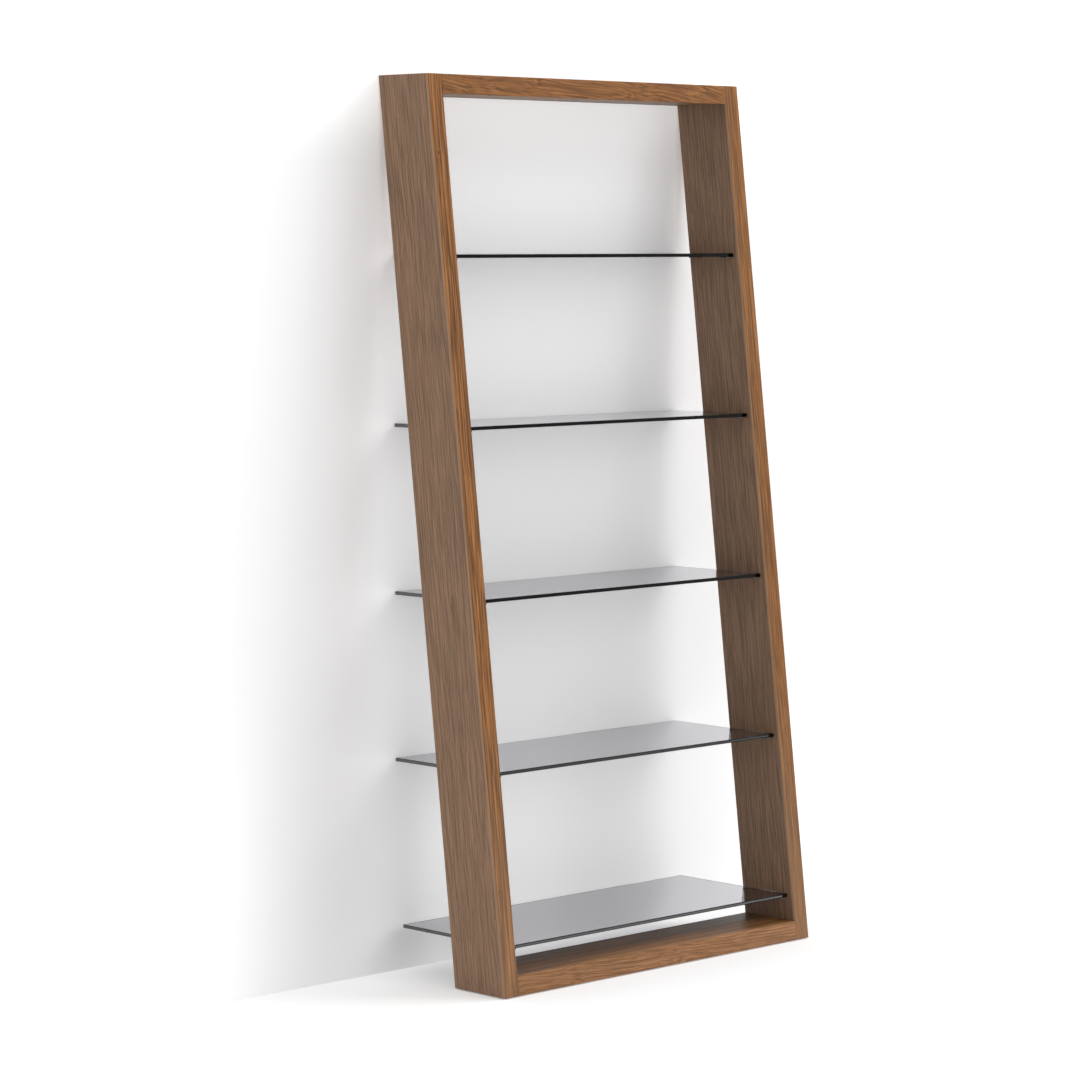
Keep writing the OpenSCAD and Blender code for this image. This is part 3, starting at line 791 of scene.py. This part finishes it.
def ease_edges(piece):
    """Rounds every edge sharper than 35 degrees by 0.4 mm."""
    weld(piece)
    bevel = piece.modifiers.new("ease", "BEVEL")
    bevel.width = EASED_BY
    bevel.segments = 2
    bevel.limit_method = "ANGLE"
    bevel.angle_limit = SHARP_FROM
    bevel.harden_normals = False


for name in ("left_side_lipping", "right_side_lipping", "top_rail_lipping",
             "bottom_rail_lipping", *(foot + "_glide" for foot in FEET)):
    ease_edges(nodes[name])
print("eased", sum(bool(piece.modifiers) for piece in nodes.values()), "nodes")

# %% [markdown]
# ## Pads that wet the glass
# A bonded pad touches the glass without air between, so one sees straight onto its dark
# face. In the mesh both faces lie in one plane, and a ray can't tell which comes first. The
# pads are therefore swollen by a twentieth of a millimetre.

# %% Swollen pads
SWOLLEN_BY = 0.00005

for name in on_each_shelf("bonding_pads"):
    weld(nodes[name])
    swell = nodes[name].modifiers.new("swell", "DISPLACE")
    swell.strength = SWOLLEN_BY
    swell.mid_level = 0.0
print("pads swollen by", round(SWOLLEN_BY * 1000, 2), "mm")

# %% [markdown]
# ## The room
# A white wall stands just behind the frame's top rear edge, and a pale floor runs on under it.
# Both are plain stage, not part of the object. The wall is there for the camera, for gloss and
# for glass, and only from its front: light passes through it, so the rear of the object is lit
# as well, and a camera behind it sees the object and not the wall. A slight glow that only the
# camera, gloss and glass see lets the paint fade to white away from the object.

# %% Wall and floor sheets
WALL_Y = 0.2006
FLOOR_Z = -0.0002  # just under the soles, so that no two faces lie in one plane
ROOM_SIDE, ROOM_FRONT, ROOM_TOP = 9, -12, 7


def sheet_of(name, corners):
    """One flat face through four corners, its front where they run anticlockwise."""
    mesh = bpy.data.meshes.new(name)
    mesh.from_pydata(corners, [], [(0, 1, 2, 3)])
    obj = bpy.data.objects.new(name, mesh)
    scene.collection.objects.link(obj)
    return obj


wall = sheet_of("wall", [(-ROOM_SIDE, WALL_Y, 0), (ROOM_SIDE, WALL_Y, 0),
                         (ROOM_SIDE, WALL_Y, ROOM_TOP), (-ROOM_SIDE, WALL_Y, ROOM_TOP)])
floor = sheet_of("floor", [(-ROOM_SIDE, ROOM_FRONT, FLOOR_Z), (ROOM_SIDE, ROOM_FRONT, FLOOR_Z),
                           (ROOM_SIDE, ROOM_SIDE, FLOOR_Z), (-ROOM_SIDE, ROOM_SIDE, FLOOR_Z)])
print("wall at y =", WALL_Y, "and floor at z =", FLOOR_Z)

# %% [markdown]
# In the photo the wall isn't equally bright. It is a little brighter behind the frame's top. Near
# the floor it is darker just left of the frame, and brighter where light comes in through it. A
# lamp for each would also light the object, so the paint itself glows there, by a few ramps.

# %% Glow of the paint
FADES_BEYOND = {"X": 0.55, "Y": 0.3, "Z": 2.0}  # plain paint up to here, brighter further out
FADE = 0.50
MOST_GLOW = 0.4
# Each ramp: where it starts, where it ends, glow before, glow after.
NEAR_FLOOR = (0.25, 0.85, 1.0, 0.0)
# Near the floor these ramps paint light on the wall, and just left of the frame, where they lower
# the glow, painted shade.
LOW_ALONG_X = ((-0.45, -0.30, -0.04, 0.15), (-0.05, 0.20, 0.0, -0.07), (-1.0, -0.65, 0.10, 0.0))
NEAR_TOP = (1.80, 2.02, 0.0, 0.25)


def fade_to_white(tree):
    """0.5 times the square of how far a point is beyond the plain middle, by its farthest axis."""
    away = 0.0
    for axis, start in FADES_BEYOND.items():
        along = maths(tree, "ABSOLUTE", part_of(tree, place_on_object(tree), axis))
        away = maths(tree, "MAXIMUM", away, less(tree, along, start))
    return times(tree, away, away, FADE)


def glow_on_wall(tree):
    """A ramp near the top, and near the floor the sum of the ramps along X."""
    place = place_on_object(tree)
    along, height = part_of(tree, place, "X"), part_of(tree, place, "Z")
    low = add(tree, *(ramp(tree, along, *rise) for rise in LOW_ALONG_X))
    low = times(tree, ramp(tree, height, *NEAR_FLOOR), low)
    return add(tree, low, ramp(tree, height, *NEAR_TOP))


print("the paint glows by up to", MOST_GLOW)

# %% [markdown]
# The paint is matt, and see-through from behind by Geometry's Backfacing and a Transparent
# shader. The wall lets light that spreads through from both sides, the floor doesn't, because it
# has to catch the object's shadow.

# %% Paint of the room
WALL_WHITE, FLOOR_WHITE = (0.92, 0.923, 0.93, 1.0), (0.93, 0.93, 0.93, 1.0)
WALL_GLOW, FLOOR_GLOW = 0.15, 0.20
WHITE = grey(1.0)
MATT = 0.9


def seen_rays(tree):
    """1 for camera rays, reflections and rays through glass, 0 for light that spreads."""
    path = tree.nodes.new("ShaderNodeLightPath").outputs
    seen = add(tree, path["Is Camera Ray"], path["Is Glossy Ray"])
    return maths(tree, "ADD", seen, path["Is Transmission Ray"], clamp=True)


def room_paint(name, colour, glow, is_wall):
    """Glow, for seen rays only = its own glow plus the fade and the wall's ramps. It never goes
    over 0.4, or far paint would light mirrors. Solid = seen from the front, and on the wall
    only for seen rays."""
    material, tree, shader = new_material(name)
    seen = seen_rays(tree)
    glow = add(tree, glow, fade_to_white(tree))
    if is_wall:
        glow = add(tree, glow, glow_on_wall(tree))
    glow = maths(tree, "MINIMUM", glow, MOST_GLOW)
    fill(tree, shader.inputs, {
        "Base Color": colour, "Roughness": MATT, "Specular IOR Level": 0.0,
        "Emission Color": WHITE, "Emission Strength": times(tree, seen, glow)})
    solid = less(tree, 1.0, put(tree, "ShaderNodeNewGeometry", out="Backfacing"))
    if is_wall:
        solid = times(tree, solid, seen)
    clear = put(tree, "ShaderNodeBsdfTransparent")
    mixed = put(tree, "ShaderNodeMixShader", {0: solid, 1: clear, 2: shader.outputs[0]})
    fill(tree, tree.nodes["Material Output"].inputs, {"Surface": mixed})
    return material


wall.data.materials.append(room_paint("wall_paint", WALL_WHITE, WALL_GLOW, True))
floor.data.materials.append(room_paint("floor_paint", FLOOR_WHITE, FLOOR_GLOW, False))
print("painted:", [obj.name for obj in (wall, floor)])

# %% [markdown]
# ## Light
# The photo is lit softly from all round, with most of it from the front right. Three broad
# lamps give that: a low one in front, the strongest high on the right, and one overhead for the
# shadows under each shelf. Their strengths were fitted together with the world's, so that a
# white thing in the middle of the scene comes out just below white. The world is white for the
# eye but weaker as a lamp, and neither mirrors nor glass show the lamps.

# %% World and lamps
WORLD_LIGHT = 0.70
LAMP_SIZE = 3.0
OBJECT_MIDDLE = Vector((0.0, 0.1, 1.0))

world = bpy.data.worlds.new("room_light")
scene.world = world
world.use_nodes = True
sky = world.node_tree
strength = put(sky, "ShaderNodeMix", {0: seen_rays(sky), 2: WORLD_LIGHT, 3: 1.0},
               data_type="FLOAT")
fill(sky, sky.nodes["Background"].inputs, {"Color": WHITE, "Strength": strength})


def lamp(name, azimuth, elevation, distance, watts):
    """A square area lamp on a sphere round the middle of the object. Azimuth 0 is in front and
    90 to the right. Mirrors and glass don't show it."""
    a, e = math.radians(azimuth), math.radians(elevation)
    way = Vector((math.sin(a) * math.cos(e), -math.cos(a) * math.cos(e), math.sin(e)))
    at = OBJECT_MIDDLE + distance * way
    data = bpy.data.lights.new(name, "AREA")
    data.size = LAMP_SIZE
    data.energy = watts
    obj = bpy.data.objects.new(name, data)
    obj.location = at
    obj.rotation_euler = (OBJECT_MIDDLE - at).to_track_quat("-Z", "Y").to_euler()
    obj.visible_glossy = False
    obj.visible_transmission = False
    scene.collection.objects.link(obj)


lamp("front_lamp", azimuth=30.0, elevation=15.0, distance=6.0, watts=32.0)
lamp("right_lamp", azimuth=55.0, elevation=40.0, distance=6.0, watts=87.0)
lamp("top_lamp", azimuth=20.0, elevation=82.0, distance=5.0, watts=52.0)
scene.view_settings.view_transform = "Standard"
